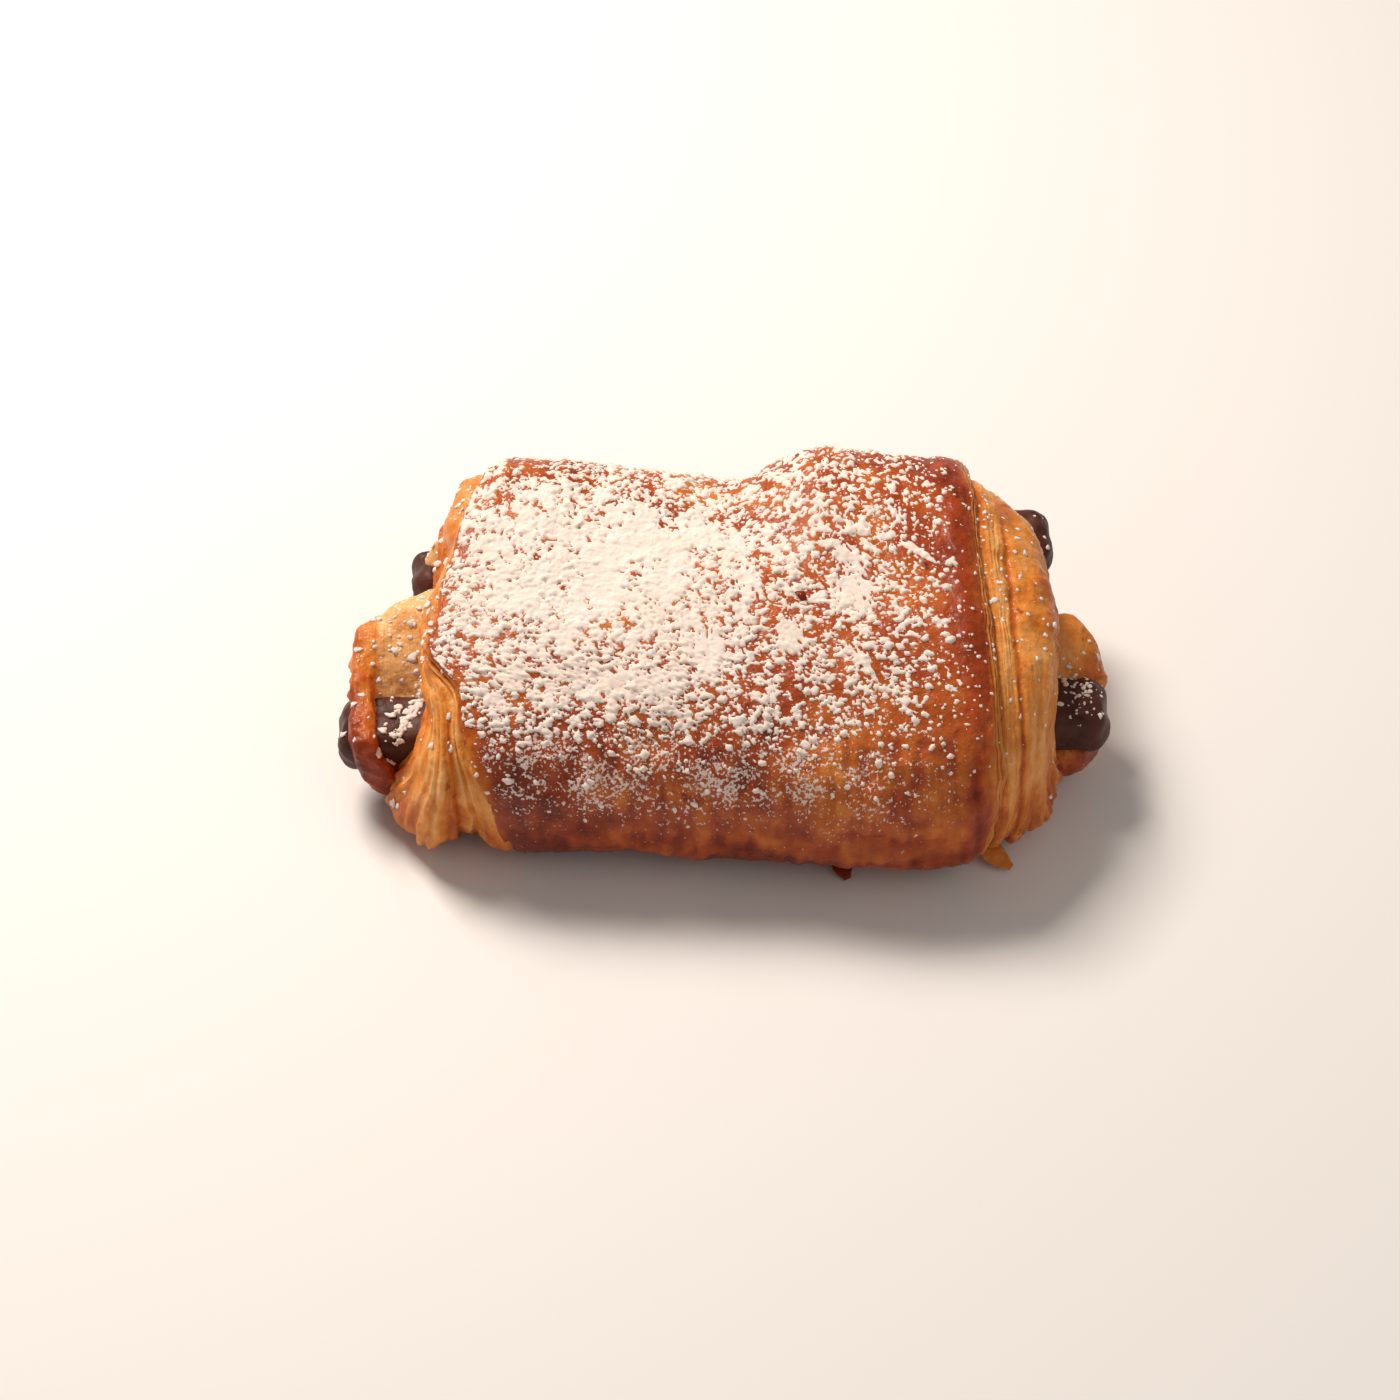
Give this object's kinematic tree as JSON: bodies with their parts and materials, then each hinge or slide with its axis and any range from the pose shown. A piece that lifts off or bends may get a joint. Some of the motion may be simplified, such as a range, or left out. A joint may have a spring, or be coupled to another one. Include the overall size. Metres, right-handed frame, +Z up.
{
  "type": "pain au chocolat",
  "caption": "Rolled and baked laminated pastry, flat underneath, with chocolate sticks through it that show at both ends and icing sugar on its lid.",
  "frame": {"origin": "middle of the underside, on the surface that the pastry rests on", "axes": "+X along the roll, the way its chocolate sticks run; +Y from the front towards the back; +Z up"},
  "size_m": [0.1346, 0.079, 0.0439],
  "materials": {
    "baked_dough": "egg-washed golden brown crust, satin, paler between its layers",
    "dark_chocolate": "dark chocolate that melted and set again, satin",
    "icing_sugar": "matt white powder"
  },
  "bodies": {
    "root": {"dough_roll": "baked_dough", "chocolate_stick_front": "dark_chocolate", "chocolate_stick_rear": "dark_chocolate", "icing_sugar": "icing_sugar"}
  },
  "joints": []
}
